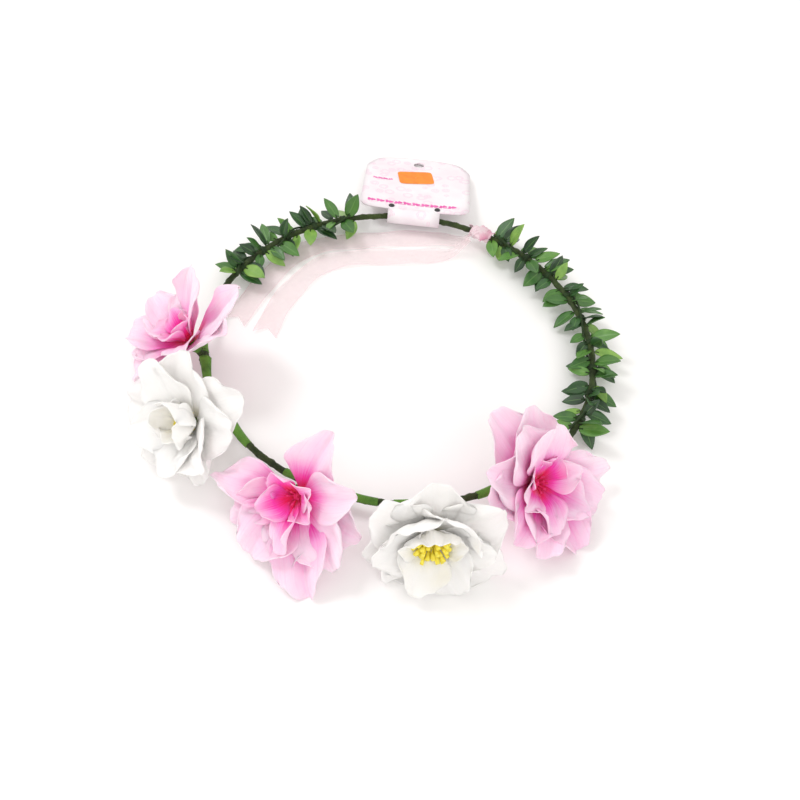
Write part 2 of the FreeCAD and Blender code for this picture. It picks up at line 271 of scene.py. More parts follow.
def petal_look(name, stops, edge, vein_dark, glow, bleed=(1.0, 0.55, 0.6)):
    """Pressed fabric: shaded from the heart out, with fan veins, a fine weave and some light through it."""
    look = Look(name)
    uv = look.uv()
    split = look.node("ShaderNodeSeparateXYZ", Vector=uv)
    across = split.outputs["X"]
    along = split.outputs["Y"]
    patch = look.noise(90.0, 3.0, 0.55)
    vein_place = look.place((34.0, 1.6, 1.0), uv)
    veins = look.noise(1.0, 4.0, 0.6, vein_place)
    shift = look.math("MULTIPLY", look.math("SUBTRACT", patch, 0.5), 0.16)
    vein_shift = look.math("MULTIPLY", look.math("SUBTRACT", veins, 0.5), 0.26)
    tone = look.math("ADD", look.math("ADD", along, shift), vein_shift)
    middle = look.math("ABSOLUTE", look.math("SUBTRACT", across, 0.5))
    tone = look.math("ADD", tone, look.math("MULTIPLY", middle, 0.22))
    tone = look.math("ADD", tone, look.math("MULTIPLY", look.math("SUBTRACT", look.tint(), 0.5), 0.22))
    colour = look.ramp(tone, stops)
    lines = look.math("POWER", look.math("ABSOLUTE", look.math("SUBTRACT", veins, 0.5)), 0.6)
    colour = look.blend(look.math("MULTIPLY", lines, vein_dark), colour, edge, "MULTIPLY")
    look.set(Base_Color=colour, Roughness=0.72, Specular_IOR_Level=0.25)
    look.set(Sheen_Weight=0.25, Sheen_Roughness=0.5)
    look.set(Subsurface_Weight=glow, Subsurface_Scale=0.002)
    look.shader.inputs["Subsurface Radius"].default_value = bleed
    weave = look.noise(2600.0, 1.0, 0.5)
    height = look.math("ADD", look.math("MULTIPLY", veins, 0.8), look.math("MULTIPLY", weave, 0.35))
    look.bump(height, 0.5, 0.0006)
    return look.material


PINK = petal_look(
    "pink_petal",
    [(0.0, (0.66, 0.006, 0.03)), (0.16, (0.86, 0.012, 0.14)), (0.31, (0.95, 0.06, 0.45)),
     (0.45, (0.97, 0.34, 0.66)), (0.62, (0.98, 0.61, 0.80)), (1.0, (0.99, 0.78, 0.89))],
    (0.95, 0.55, 0.78), 0.5, 0.35)
WHITE = petal_look(
    "white_petal",
    [(0.0, (0.90, 0.88, 0.66)), (0.12, (0.945, 0.93, 0.86)), (0.28, (0.965, 0.955, 0.935)),
     (1.0, (0.97, 0.96, 0.945))],
    (0.97, 0.92, 0.86), 0.35, 0.45, (1.0, 0.95, 0.9))


def tape_look(name, dark, light):
    """Waxed crepe tape: fine crinkles across it, with a painted highlight that makes its raised ridges
    paler.
    """
    look = Look(name)
    uv = look.uv()
    crinkle = look.wave(60.0, 5.0, look.place((1.0, 40.0, 1.0), uv), 3.0)
    patch = look.noise(160.0, 4.0, 0.6)
    # Painted highlight: the crinkles and patches that the bump raises are also painted paler.
    tone = look.math("ADD", look.math("MULTIPLY", patch, 0.7), look.math("MULTIPLY", crinkle, 0.25))
    tone = look.math("ADD", tone, look.math("SUBTRACT", look.tint(), 0.5))
    colour = look.ramp(tone, [(0.25, dark), (0.75, light)])
    look.set(Base_Color=colour, Roughness=0.55, Specular_IOR_Level=0.35)
    look.bump(look.math("ADD", crinkle, patch), 0.6, 0.0004)
    return look.material


TAPE = tape_look("floral_tape", (0.014, 0.026, 0.008), (0.11, 0.17, 0.042))
# Painted light: the same floral tape in a much lighter green, standing in for tape in full light, used on
# the tape ends and the green cups.
PAINTED_LIT_TAPE = tape_look("bright_tape", (0.03, 0.11, 0.015), (0.20, 0.46, 0.06))
STEM = tape_look("garland_stem", (0.012, 0.028, 0.008), (0.05, 0.10, 0.03))


def leaf_look():
    """Glossy moulded plastic, from deep to yellow green, paler along the midrib."""
    look = Look("leaf_plastic")
    uv = look.uv()
    split = look.node("ShaderNodeSeparateXYZ", Vector=uv)
    across = look.math("ABSOLUTE", look.math("SUBTRACT", split.outputs["X"], 0.5))
    rib = look.math("LESS_THAN", across, 0.035)
    veins = look.wave(9.0, 1.2, uv)
    patch = look.noise(220.0, 3.0, 0.5)
    tone = look.math("ADD", look.tint(), look.math("MULTIPLY", look.math("SUBTRACT", patch, 0.5), 0.35))
    colour = look.ramp(tone, [(0.0, (0.008, 0.036, 0.010)), (0.4, (0.024, 0.105, 0.018)),
                              (0.75, (0.090, 0.26, 0.030)), (1.0, (0.26, 0.47, 0.08))])
    colour = look.blend(look.math("MULTIPLY", rib, 0.35), colour, (0.20, 0.40, 0.10))
    look.set(Base_Color=colour, Roughness=0.34, Specular_IOR_Level=0.6, Coat_Weight=0.25)
    look.set(Coat_Roughness=0.2)
    look.bump(look.math("ADD", look.math("MULTIPLY", veins, 0.35), patch), 0.35, 0.0003)
    return look.material


LEAF = leaf_look()


def organza_look():
    """Sheer pale pink weave: mostly see-through, denser where its threads bunch and at the selvage."""
    look = Look("organza")
    uv = look.uv()
    split = look.node("ShaderNodeSeparateXYZ", Vector=uv)
    middle = look.math("ABSOLUTE", look.math("SUBTRACT", split.outputs["X"], 0.5))
    selvage = look.math("GREATER_THAN", middle, 0.465)
    threads = look.noise(1.0, 3.0, 0.6, look.place((220.0, 30.0, 1.0), uv))
    bunch = look.noise(120.0, 2.0, 0.5)
    cover = look.math("ADD", 0.04, look.math("MULTIPLY", threads, 0.26))
    cover = look.math("ADD", cover, look.math("MULTIPLY", bunch, 0.16))
    cover = look.math("ADD", cover, look.math("MULTIPLY", selvage, 0.30))
    cover = look.math("ADD", cover, look.math("MULTIPLY", look.tint(), 0.3))
    colour = look.ramp(threads, [(0.3, (0.90, 0.66, 0.70)), (0.7, (0.94, 0.80, 0.83))])
    look.set(Base_Color=colour, Roughness=0.45, Sheen_Weight=0.4, Alpha=cover)
    look.bump(threads, 0.3, 0.0002)
    return look.material


ORGANZA = organza_look()


def card_look():
    """Coated card with a faint pink all-over blossom print."""
    look = Look("tag_card")
    where = look.place()
    cells = look.node("ShaderNodeTexVoronoi", Vector=where, Scale=150.0)
    cells.feature = "F1"
    ring = look.math("SUBTRACT", cells.outputs["Distance"], 0.34)
    petals = look.wave(420.0, 8.0, where)
    print_mask = look.math("LESS_THAN", look.math("ABSOLUTE", ring), 0.10)
    print_mask = look.math("MULTIPLY", print_mask, look.math("GREATER_THAN", petals, 0.35))
    wash = look.noise(60.0, 2.0, 0.5, where)
    paper = look.ramp(wash, [(0.3, (0.86, 0.76, 0.82)), (0.7, (0.93, 0.90, 0.92))])
    colour = look.blend(look.math("MULTIPLY", print_mask, 0.32), paper, (0.85, 0.40, 0.62))
    look.set(Base_Color=colour, Roughness=0.35, Specular_IOR_Level=0.4)
    look.bump(look.noise(900.0, 2.0, 0.5, where), 0.15, 0.0002)
    return look.material


def flat_look(name, dark, light, rough, scale=300.0, bump=0.2):
    """A plain finish with slight uneven tone."""
    look = Look(name)
    patch = look.noise(scale, 3.0, 0.55)
    look.set(Base_Color=look.ramp(patch, [(0.3, dark), (0.7, light)]), Roughness=rough)
    look.bump(patch, bump, 0.0002)
    return look.material


KNOT = petal_look(
    "ribbon_folds",
    [(0.0, (0.70, 0.24, 0.42)), (0.3, (0.80, 0.40, 0.52)),
     (0.7, (0.88, 0.58, 0.66)), (1.0, (0.93, 0.74, 0.79))],
    (0.90, 0.50, 0.62), 0.8, 0.2)
CARD = card_look()
INK = flat_look("print_ink", (0.75, 0.06, 0.36), (0.88, 0.20, 0.52), 0.5)
LABEL = flat_look("price_sticker", (0.90, 0.22, 0.006), (0.96, 0.30, 0.01), 0.5)
PIN = flat_look("tag_pin", (0.010, 0.010, 0.011), (0.03, 0.03, 0.032), 0.3)
POLLEN = flat_look("yellow_stamens", (0.90, 0.70, 0.03), (0.98, 0.92, 0.14), 0.6, 900.0, 0.6)
HEART = flat_look("pink_heart", (0.62, 0.01, 0.09), (0.86, 0.04, 0.24), 0.6, 700.0, 0.5)
WIRE = flat_look("steel_wire", (0.30, 0.30, 0.31), (0.45, 0.45, 0.46), 0.35)
WIRE.node_tree.nodes["Principled BSDF"].inputs["Metallic"].default_value = 1.0


# ------------------------------------------------------------------ hoop, stems and leaves


WIRE_RADIUS = 0.9
TAPE_STEPS = 1100
TAPE_SIDES = 22
TAPE_TURNS = 46
TAPE_RIDGE = 0.30
TAPE_ROUGHNESS = 0.20


def make_hoop():
    """The steel wire and the tape wound round it, one ridge at every turn."""
    core = Shape()
    path = [hoop_point(deg) for deg in range(0, 361, 4)]
    tube(core, path, WIRE_RADIUS, 8)
    core.make("hoop_wire_core", WIRE, "hoop", ["hoop_wire"])

    tape = Shape()
    rows = []
    uvs = []
    for j in range(TAPE_STEPS + 1):
        deg = 360.0 * (j % TAPE_STEPS) / TAPE_STEPS
        row = []
        for i in range(TAPE_SIDES):
            turn = 2 * math.pi * i / TAPE_SIDES
            spiral = (i / TAPE_SIDES + deg / 360.0 * TAPE_TURNS) % 1.0
            ridge = TAPE_RIDGE * smooth(0.78, 0.98, spiral) - 0.12
            rough = noise.noise(Vector((deg * 0.9, math.cos(turn) * 1.4, math.sin(turn) * 1.4)))
            size = TAPE_RADIUS + ridge + TAPE_ROUGHNESS * rough
            row.append(hoop_point(deg) + round_hoop(deg, turn) * size)
        rows.append(row)
        uvs.append([(i / TAPE_SIDES, deg / 9.0) for i in range(TAPE_SIDES)])
    tape.grid(rows, uvs, 0.42, True)
    tape.make("floral_tape_wrap", TAPE, "hoop", ["floral_tape"])


VINE_ORBIT = 2.45
VINE_TWIST = 2.2
VINE_RADIUS = 0.55
VINE_WANDER = 0.35


def garland_path(first, last, seed):
    """A thin stem that winds loosely round the taped wire."""
    steps = int(abs(last - first) / 0.8)
    path = []
    for j in range(steps + 1):
        deg = mix(first, last, j / steps)
        turn = math.radians(70 + VINE_TWIST * j / steps * 360)
        orbit = VINE_ORBIT + VINE_WANDER * noise.noise(Vector((deg * 0.12, seed, 0)))
        path.append(hoop_point(deg, orbit * math.cos(turn), orbit * math.sin(turn)))
    return path


def make_stem(name, first, last, seed):
    shape = Shape()
    tube(shape, garland_path(first, last, seed), VINE_RADIUS, 8, 0.55)
    shape.make(name + "_vine", STEM, "hoop", [name])


LEAF_LONG_STEPS = 11
LEAF_WIDE_STEPS = 6
LEAF_THICKNESS = 0.35
LEAF_LENGTHS = (9.5, 14.0)
LOWEST_LEAF = 0.8


def leaf(shape, root, out, face, length, width, bend, tint):
    """A pointed oval leaf from root along out, its upper side towards face."""
    side = out.cross(face).normalized()
    face = side.cross(out).normalized()
    rows = []
    uvs = []
    for j in range(LEAF_LONG_STEPS + 1):
        s = j / LEAF_LONG_STEPS
        half = width / 2 * (math.sin(math.pi * min(1.0, s * 0.94 + 0.06) ** 0.86) ** 0.82)
        half = max(half, 0.35 if s < 0.2 else 0.04)
        drop = -bend * s * s
        row = []
        for i in range(LEAF_WIDE_STEPS + 1):
            u = i / LEAF_WIDE_STEPS * 2 - 1
            lift = 0.22 * half * abs(u) ** 1.3 - 0.10 * math.exp(-(u / 0.2) ** 2)
            wave = 0.10 * math.sin(9 * s + u * 2) * abs(u)
            row.append(root + out * (length * s) + side * (u * half) + face * (drop + lift + wave))
        rows.append(row)
        uvs.append([(i / LEAF_WIDE_STEPS, s) for i in range(LEAF_WIDE_STEPS + 1)])
    shape.grid(rows, uvs, tint)


def make_cluster(node, at, step, rng):
    """Leaves in opposite pairs along one short moulded sprig, with the little ties that hold it."""
    leaves = Shape()
    ties = Shape()
    forward = math.copysign(1.0, step)
    span = abs(step) * rng.uniform(0.70, 0.90)
    pairs = rng.choice((5, 6, 6))
    for pair in range(pairs):
        deg = at + forward * ((pair + 0.5) / pairs - 0.5) * span
        spin = rng.uniform(-20, 20) + (62 if pair % 2 else 0)
        for wing in (0, 1):
            around = math.radians(spin + 180 * wing + rng.uniform(-18, 18))
            away = round_hoop(deg, around)
            if away.z < -0.45:
                continue
            lean = math.radians(rng.uniform(8, 56))
            travel = unit(deg + 90) * forward * rng.choice((1, 1, 1, -0.4))
            out = (away * math.cos(lean) + travel * math.sin(lean)).normalized()
            root = hoop_point(deg) + away * (TAPE_RADIUS + 0.2)
            length = rng.uniform(*LEAF_LENGTHS)
            low = root.z + out.z * length
            if low < LOWEST_LEAF:
                out.z += (LOWEST_LEAF - low) / length
                out.normalize()
            face = Vector((rng.uniform(-0.5, 0.5), rng.uniform(-0.6, 0.2), 1.0)) + away * 0.15
            tint = rng.choice((0.1, 0.25, 0.4, 0.5, 0.6, 0.75, 0.92))
            width = length * rng.uniform(0.46, 0.56)
            leaf(leaves, root, out, face, length, width, rng.uniform(0.2, 2.0), tint)
            stub = [root - away * 0.5, root + out * 1.8]
            tube(ties, stub, 0.42, 6, 0.5)
    band = [hoop_point(at + d * 0.5) for d in (-1.6, -0.8, 0, 0.8, 1.6)]
    tube(ties, band, lambda share: 2.15 + 0.18 * math.sin(share * 9), 14, 0.45)
    leaves.make(node + "_leaves", LEAF, "hoop", [node], LEAF_THICKNESS)
    ties.make(node + "_sprig", STEM, "hoop", ())


RIGHT_FIRST, RIGHT_STEP, RIGHT_COUNT = 83.0, -10.3, 9
LEFT_FIRST, LEFT_STEP, LEFT_COUNT = 138.5, 10.3, 5


def make_garland():
    rng = random.Random(11)
    for number in range(RIGHT_COUNT):
        at = RIGHT_FIRST + number * RIGHT_STEP
        make_cluster("leaf_cluster_right_%d" % (number + 1), at, RIGHT_STEP, rng)
    for number in range(LEFT_COUNT):
        at = LEFT_FIRST + number * LEFT_STEP
        make_cluster("leaf_cluster_left_%d" % (number + 1), at, LEFT_STEP, rng)
    make_stem("garland_stem_right", 86.5, -4.5, 3)
    make_stem("garland_stem_left", 134.5, 184.0, 8)


# ------------------------------------------------------------------ flowers


# Place on the hoop, way the flower faces, stalk, size of its tuft of stamens and how far that hangs.
FLOWERS = {
    "pink_flower_left": dict(at=-141, azimuth=-165, rise=58, stalk=4.5, tuft=0.45, droop=0.0),
    "white_flower_left": dict(at=-118, azimuth=-104, rise=34, stalk=12.0, tuft=0.75, droop=0.0),
    "pink_flower_front": dict(at=-84, azimuth=-86, rise=40, stalk=11.0, tuft=0.5, droop=0.0),
    "white_flower_right": dict(at=-55, azimuth=-57, rise=20, stalk=13.0, tuft=1.25, droop=0.22),
    "pink_flower_right": dict(at=-29, azimuth=-18, rise=43, stalk=5.0, tuft=0.5, droop=0.0),
}
CALYX_HEIGHT = 5.0
LOWEST = 0.4


def flower_axes(flower):
    rise = math.radians(flower["rise"])
    axis = unit(flower["azimuth"]) * math.cos(rise) + Vector((0, 0, math.sin(rise)))
    side = UP.cross(axis).normalized()
    return side, axis.cross(side), axis


PETAL_STEPS_WIDE = 22
PETAL_STEPS_LONG = 28
PETAL_TRACK_STEPS = 60


def petal(shape, flower, lift, turn, tilt, length, width, ruffle, seed, cup=0.22, twist=0.0,
          fold=0.35, deep=1.0):
    """One heat-formed petal. tilt gives its angle from the flower's axis at the root and at the tip.

    cup, ruffle, twist and fold shape it; deep under 1 draws the hot colour of the root further out.
    """
    side, up, axis = flower_axes(flower)
    hub = hoop_point(flower["at"]) + axis * (flower["stalk"] + CALYX_HEIGHT + lift)
    way = side * math.cos(math.radians(turn)) + up * math.sin(math.radians(turn))
    beside = axis.cross(way)
    wide = PETAL_STEPS_WIDE
    long = PETAL_STEPS_LONG
    fine = PETAL_TRACK_STEPS
    track = [(1.4, 0.0, math.radians(tilt[0]))]
    for k in range(1, fine + 1):
        share = k / fine
        angle = math.radians(mix(tilt[0], tilt[1], smooth(0.0, 1.0, share) * 0.6 + share * 0.4))
        r, z, _ = track[-1]
        track.append((r + length / fine * math.sin(angle), z + length / fine * math.cos(angle), angle))
    rng = random.Random(seed * 7 + 3)
    phases = [rng.uniform(0, 6.28) for _ in range(6)]
    rows = []
    uvs = []
    for j in range(long + 1):
        s0 = j / long
        row = []
        for i in range(wide + 1):
            u = i / wide * 2 - 1
            reach = 1 - 0.25 * abs(u) ** 2.1 + 0.05 * math.exp(-(u / 0.25) ** 2)
            reach += 0.022 * math.sin(5 * u + phases[4]) + 0.012 * math.sin(13 * u + phases[5])
            s = s0 * mix(1.0, reach, s0)
            place = min(s, 1.0) * fine
            k = min(int(place), fine - 1)
            r, z, angle = (mix(a, b, place - k) for a, b in zip(track[k], track[k + 1]))
            body = 0.15 + 0.85 * smooth(0.0, 0.58, s0) ** 0.85
            taper = math.sqrt(max(0.0, 1 - (max(0.0, s0 - 0.60) / 0.56) ** 2))
            half = width / 2 * body * taper
            x = u * half
            edge = abs(u)
            d = cup * half * (u * u) * (0.35 + 0.9 * s0)
            d -= fold * half * 0.35 * math.exp(-(u / 0.16) ** 2) * (1 - 0.55 * s0)
            d += 0.05 * half * math.sin(9 * u + phases[0]) * smooth(0.15, 0.8, s0)
            sweep = math.sin(6.2 * s0 + phases[1] + 1.6 * u)
            d += ruffle * (edge ** 1.8) * smooth(0.3, 1.0, s0) * 1.5 * sweep
            d += ruffle * smooth(0.62, 1.0, s0) * 1.6 * math.sin(4.4 * u + phases[2])
            bumpy = noise.noise(Vector((x * 0.11 + phases[3] * 3, s0 * length * 0.11, seed)))
            d += 1.5 * bumpy * smooth(0.05, 0.6, s0)
            spin = math.radians(twist) * s0
            x, d = x * math.cos(spin) - d * math.sin(spin), x * math.sin(spin) + d * math.cos(spin)
            r += -math.cos(angle) * d
            z += math.sin(angle) * d
            row.append(hub + way * r + beside * x + axis * z)
        rows.append(row)
        uvs.append([(i / wide, s0 * deep) for i in range(wide + 1)])
    for row in rows:
        for point in row:
            point.z = max(point.z, LOWEST)
    shape.grid(rows, uvs, rng.random())


LIFTS = {"outer": 0.0, "middle": 1.2, "inner": 2.4}
PETAL_THICKNESS = 0.28
TAPE_END_THICKNESS = 0.18

# Petals of each layer: turn round the axis, tilt at root and tip, length, width, ruffle and extras.
PETALS = {
    "pink_flower_left": {
        "outer": [
            (106, (56, 80), 37, 36, 0.9, dict(cup=0.04, fold=0.15)),
            (70, (60, 86), 34, 30, 0.8, dict(cup=0.06, fold=0.2)),
            (225, (42, 64), 32, 18, 1.0, dict(cup=0.35)),
            (264, (55, 82), 34, 25, 0.9),
            (322, (66, 92), 30, 23, 0.9),
        ],
        "middle": [
            (122, (24, 48), 36, 27, 0.9, dict(cup=0.25, twist=14)),
            (288, (66, 96), 28, 23, 0.9),
            (244, (50, 72), 27, 18, 0.8),
            (180, (36, 60), 26, 18, 0.8),
            (30, (55, 80), 26, 20, 0.8),
        ],
        "inner": [
            (210, (24, 50), 15, 13, 0.7, dict(cup=0.5, deep=0.6)),
            (285, (36, 66), 17, 14, 0.7, dict(cup=0.5, deep=0.6)),
            (345, (30, 56), 15, 12, 0.7, dict(cup=0.5, deep=0.6)),
            (75, (20, 40), 14, 12, 0.7, dict(cup=0.5, deep=0.6)),
            (140, (20, 40), 13, 11, 0.7, dict(cup=0.5, deep=0.6)),
        ],
    },
    "white_flower_left": {
        "outer": [
            (112, (54, 78), 32, 30, 0.8),
            (50, (62, 92), 33.5, 29, 0.5, dict(cup=0.12)),
            (198, (62, 92), 34, 29, 0.8),
            (322, (58, 86), 27, 26, 0.8),
            (255, (48, 72), 26, 24, 0.8),
        ],
        "middle": [
            (140, (44, 70), 32, 26, 0.7),
            (28, (56, 82), 33, 26, 0.6),
            (352, (42, 66), 31, 26, 0.7),
            (222, (40, 64), 27, 23, 0.7),
            (300, (36, 60), 27, 23, 0.7),
        ],
        "inner": [
            (100, (40, 4), 23, 22, 0.5, dict(cup=0.4)),
            (190, (42, -6), 20, 19, 0.4, dict(cup=0.4)),
            (285, (38, 2), 17, 17, 0.4, dict(cup=0.4)),
            (20, (44, -4), 21, 20, 0.4, dict(cup=0.4)),
        ],
    },
    "pink_flower_front": {
        "outer": [
            (76, (52, 82), 34, 22, 1.2, dict(cup=0.25)),
            (188, (68, 94), 35.5, 19, 1.3, dict(cup=0.6, twist=50)),
            (222, (66, 92), 29, 23, 1.0),
            (300, (58, 84), 41, 25, 1.2, dict(fold=1.0)),
            (350, (64, 92), 30.5, 26, 1.0),
        ],
        "middle": [
            (252, (56, 84), 30, 28, 0.8, dict(cup=0.28)),
            (326, (58, 86), 33, 24, 1.0),
            (26, (50, 84), 29, 21, 0.8),
            (280, (62, 88), 29, 21, 0.8),
            (206, (56, 82), 25, 19, 0.8),
        ],
        "inner": [
            (284, (34, 78), 24, 12, 1.2, dict(cup=0.7, fold=0.8, twist=35, deep=0.8)),
            (214, (30, 62), 17, 15, 0.7, dict(cup=0.5, deep=0.6)),
            (150, (34, 60), 15, 11, 0.7, dict(cup=0.5, deep=0.6)),
            (40, (26, 54), 14, 13, 0.7, dict(cup=0.5, deep=0.6)),
            (340, (28, 58), 15, 13, 0.7, dict(cup=0.5, deep=0.6)),
        ],
    },
    "white_flower_right": {
        "outer": [
            (90, (58, 82), 31, 34, 0.7, dict(cup=0.12)),
            (140, (58, 84), 31, 28, 0.8),
            (190, (60, 90), 27.5, 27, 0.9),
            (225, (58, 84), 26, 24, 0.8),
            (335, (60, 88), 33, 27, 0.9),
            (30, (58, 86), 32, 30, 0.8),
        ],
        "middle": [
            (130, (62, 26), 31, 29, 0.4, dict(cup=0.25, twist=-12)),
            (54, (60, 20), 32, 31, 0.4, dict(cup=0.25, twist=-12)),
            (185, (46, 72), 27, 22, 0.6),
            (244, (28, 50), 25, 23, 0.4, dict(cup=0.3, twist=10)),
            (302, (42, 68), 26, 24, 0.4, dict(cup=0.3, twist=10)),
            (0, (44, 70), 27, 22, 0.6),
        ],
        "inner": [
            (96, (46, 10), 21, 22, 0.4, dict(cup=0.35)),
            (172, (34, 56), 17, 15, 0.4),
            (12, (34, 56), 17, 15, 0.4),
        ],
    },
    "pink_flower_right": {
        "outer": [
            (97, (70, 106), 36, 28, 0.9, dict(cup=0.2)),
            (78, (58, 88), 34, 27, 0.9),
            (340, (66, 92), 37, 20, 0.8),
            (290, (66, 90), 31, 27, 1.0, dict(deep=0.78)),
            (250, (64, 88), 31, 27, 1.0, dict(deep=0.78)),
            (160, (58, 86), 33, 24, 0.9, dict(deep=0.78)),
        ],
        "middle": [
            (104, (48, 74), 34, 27, 1.0, dict(cup=0.2)),
            (74, (38, 62), 31, 25, 0.9, dict(cup=0.25)),
            (268, (54, 82), 33, 24, 1.0, dict(cup=0.3, deep=0.78)),
            (228, (50, 76), 32, 24, 1.0, dict(cup=0.3, deep=0.78)),
            (314, (54, 84), 31, 23, 1.0, dict(cup=0.3, deep=0.78)),
            (142, (58, 84), 32, 25, 0.9, dict(deep=0.78)),
            (200, (52, 78), 31, 24, 0.9, dict(deep=0.78)),
        ],
        "inner": [
            (296, (46, 76), 24, 19, 1.0, dict(cup=0.35, deep=0.78)),
            (240, (42, 70), 23, 18, 1.0, dict(cup=0.35, deep=0.78)),
            (352, (38, 60), 19, 15, 0.6, dict(cup=0.3, deep=0.8)),
            (180, (40, 70), 20, 15, 0.8, dict(cup=0.4, deep=0.85)),
            (108, (34, 64), 16, 14, 0.7, dict(cup=0.5, deep=0.6)),
            (42, (32, 62), 15, 13, 0.7, dict(cup=0.5, deep=0.6)),
        ],
    },
}


def make_petals(name, flower):
    pink = name.startswith("pink")
    material = PINK if pink else WHITE
    number = 0
    for layer, lift in LIFTS.items():
        shape = Shape()
        for turn, tilt, length, width, ruffle, *extras in PETALS[name][layer]:
            seed = number * 13 + int(flower["rise"]) * 3
            more = extras[0] if extras else {}
            petal(shape, flower, lift, turn, tilt, length, width, ruffle, seed, **more)
            number += 1
        node = "%s_%s_petals" % (name, layer)
        shape.make(node + "_cloth", material, name, [node], PETAL_THICKNESS)


# Torn tape ends beside each flower: which way along the hoop, how far in degrees and how wide they open.
TAPE_FLARES = {
    "pink_flower_left": [(1, 11.0, 3.4), (-1, 6.0, 2.4)],
    "white_flower_left": [(1, 12.0, 3.8), (-1, 6.0, 2.6)],
    "pink_flower_front": [(1, 17.0, 3.6), (-1, 9.0, 3.0)],
    "white_flower_right": [(1, 8.0, 2.6), (-1, 8.0, 2.6)],
    "pink_flower_right": [(-1, 12.0, 3.8), (1, 6.0, 2.6)],
}


def tape_flare(shape, at, way, reach, wide):
    """Tape that runs from the flower's foot onto the hoop, half wrapped and narrowing as it goes."""
    rows = []
    uvs = []
    for j in range(19):
        share = j / 18
        deg = at + way * mix(1.2, reach, share)
        size = mix(wide, TAPE_RADIUS + 0.12, share ** 0.6)
        half = math.radians(mix(62, 118, share))
        row = []
        for i in range(11):
            u = i / 10 * 2 - 1
            turn = math.radians(112) + half * u + 0.25 * math.sin(share * 4)
            pleat = 0.16 * math.cos(5 * math.pi * u) * (1 - share)
            row.append(hoop_point(deg) + round_hoop(deg, turn) * (size + pleat))
        rows.append(row)
        uvs.append([(i / 10, share) for i in range(11)])
    shape.grid(rows, uvs, 0.6)


STAMENS_PINK = 10
STAMENS_WHITE = 34
GOLDEN_TURN = 2.39996
COLLAR_HALF = 4.2


def make_flower_base(name, flower):
    """The taped collar and stalk, the torn tape ends on the hoop, the green cup and the stamens."""
    side, up, axis = flower_axes(flower)
    foot = hoop_point(flower["at"])
    collar = Shape()
    half = math.degrees(COLLAR_HALF / HOOP_RADIUS)
    path = [hoop_point(flower["at"] + half * (k / 6 - 1)) for k in range(13)]
    tube(collar, path, lambda s: 2.25 + 0.2 * math.sin(s * 21) - 0.35 * abs(2 * s - 1) ** 4, 16, 0.5)
    top = flower["stalk"]
    stalk = [foot + axis * (2.0 + (top - 1.8) * k / 8) for k in range(9)]
    tube(collar, stalk, lambda s: 1.55 + 0.12 * math.sin(s * 17), 12, 0.5)
    flares = Shape()
    for way, reach, opening in TAPE_FLARES[name]:
        tape_flare(flares, flower["at"], way, reach, opening)
    # The tape ends take the lighter copy of the tape: painted light.
    flares.make(name + "_tape_ends", PAINTED_LIT_TAPE, "hoop", (), TAPE_END_THICKNESS)
    collar.make(name + "_taped_stem", TAPE, name, [name + "_stem"])

    cup = Shape()
    rows = []
    uvs = []
    for j in range(9):
        s = j / 8
        size = mix(1.6, 4.6, s ** 1.3)
        row = []
        for i in range(24):
            turn = 2 * math.pi * i / 24
            wobble = size * (1 + 0.10 * math.sin(5 * turn) * s)
            level = top - 0.2 + (CALYX_HEIGHT + 0.6 * math.sin(5 * turn) * s) * s * 0.96
            around = side * math.cos(turn) + up * math.sin(turn)
            row.append(foot + around * wobble + axis * level)
        rows.append(row)
        uvs.append([(i / 24, s) for i in range(24)])
    cup.grid(rows, uvs, 0.55, True)
    # The cup takes the lighter copy of the tape: painted light.
    cup.make(name + "_cup", PAINTED_LIT_TAPE, name, [name + "_calyx"], 0.5, -1.0)

    rng = random.Random(len(name) + int(flower["rise"]))
    pink = name.startswith("pink")
    stamens = Shape()
    level = top + CALYX_HEIGHT + 2.6
    count = STAMENS_PINK if pink else STAMENS_WHITE
    for number in range(count):
        spread = math.sqrt((number + 0.5) / count)
        turn = number * GOLDEN_TURN
        way = side * math.cos(turn) + up * math.sin(turn)
        root = foot + axis * level + way * (1.3 * spread)
        length = rng.uniform(6.5, 9.0) * flower["tuft"]
        lean = (axis + way * (0.75 * spread) - up * flower["droop"]).normalized()
        bow = way * rng.uniform(0.4, 1.4)
        path = [root + lean * (length * k / 5) + bow * (k / 5) ** 2 for k in range(6)]
        head = 0.35 if pink else 0.85
        size = rng.uniform(0.9, 1.15)
        tube(stamens, path, lambda s: 0.26 + head * size * smooth(0.72, 0.9, s) * (1.25 - s) * 3.2, 8, 0.5)
    dome = [foot + axis * (level - 0.2 + 0.4 * k) for k in range(5)]
    tube(stamens, dome, lambda s: 1.9 * math.sqrt(max(0.02, 1 - s * s)), 12, 0.5)
    stamens.make(name + "_stamen_tuft", HEART if pink else POLLEN, name, [name + "_stamens"])


make_hoop()
make_garland()
for flower_name, flower_data in FLOWERS.items():
    make_flower_base(flower_name, flower_data)
    make_petals(flower_name, flower_data)


# ------------------------------------------------------------------ ribbon


RIBBON_WIDTH = 12.0
TAIL_STEPS = 150
TAIL_STEPS_WIDE = 16
NOTCH_DEPTH = 5.0
KNOT_TURNS = 3.0
KNOT_THICKNESS = 0.25
KNOT_DEG = 91.0
